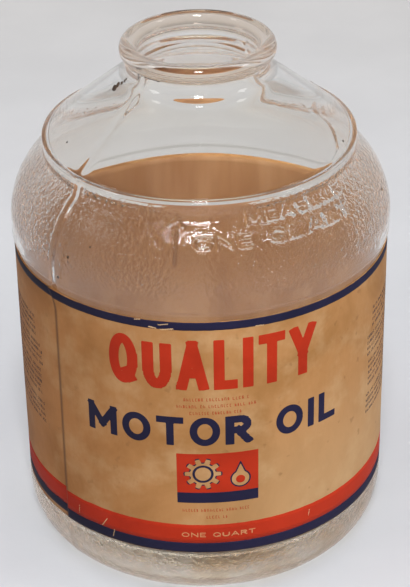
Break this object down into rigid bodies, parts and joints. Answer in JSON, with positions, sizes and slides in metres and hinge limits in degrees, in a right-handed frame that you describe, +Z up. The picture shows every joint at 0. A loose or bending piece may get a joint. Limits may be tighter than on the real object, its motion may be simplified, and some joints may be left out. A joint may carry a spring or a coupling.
{
  "type": "glass oil bottle",
  "caption": "Squat clear glass motor oil bottle with a rolled lip, coned dome, raised shoulder ring, rounded heel and a wrap-round printed paper label.",
  "frame": {"origin": "centre of the foot, on the surface that the bottle stands on", "axes": "+Z up along the bottle's axis, out of its mouth; -Y towards the front of the label"},
  "size_m": [0.108, 0.108, 0.153],
  "materials": {
    "clear_glass": "clear moulded soda-lime glass, smooth on the dome and stippled on the shoulder",
    "dried_glue": "dried, browned glue film",
    "aged_paper": "aged tan paper, printed in red and dark blue"
  },
  "bodies": {
    "root": {"glass_bottle": "clear_glass", "label_adhesive": "dried_glue", "paper_label": "aged_paper"}
  },
  "joints": []
}
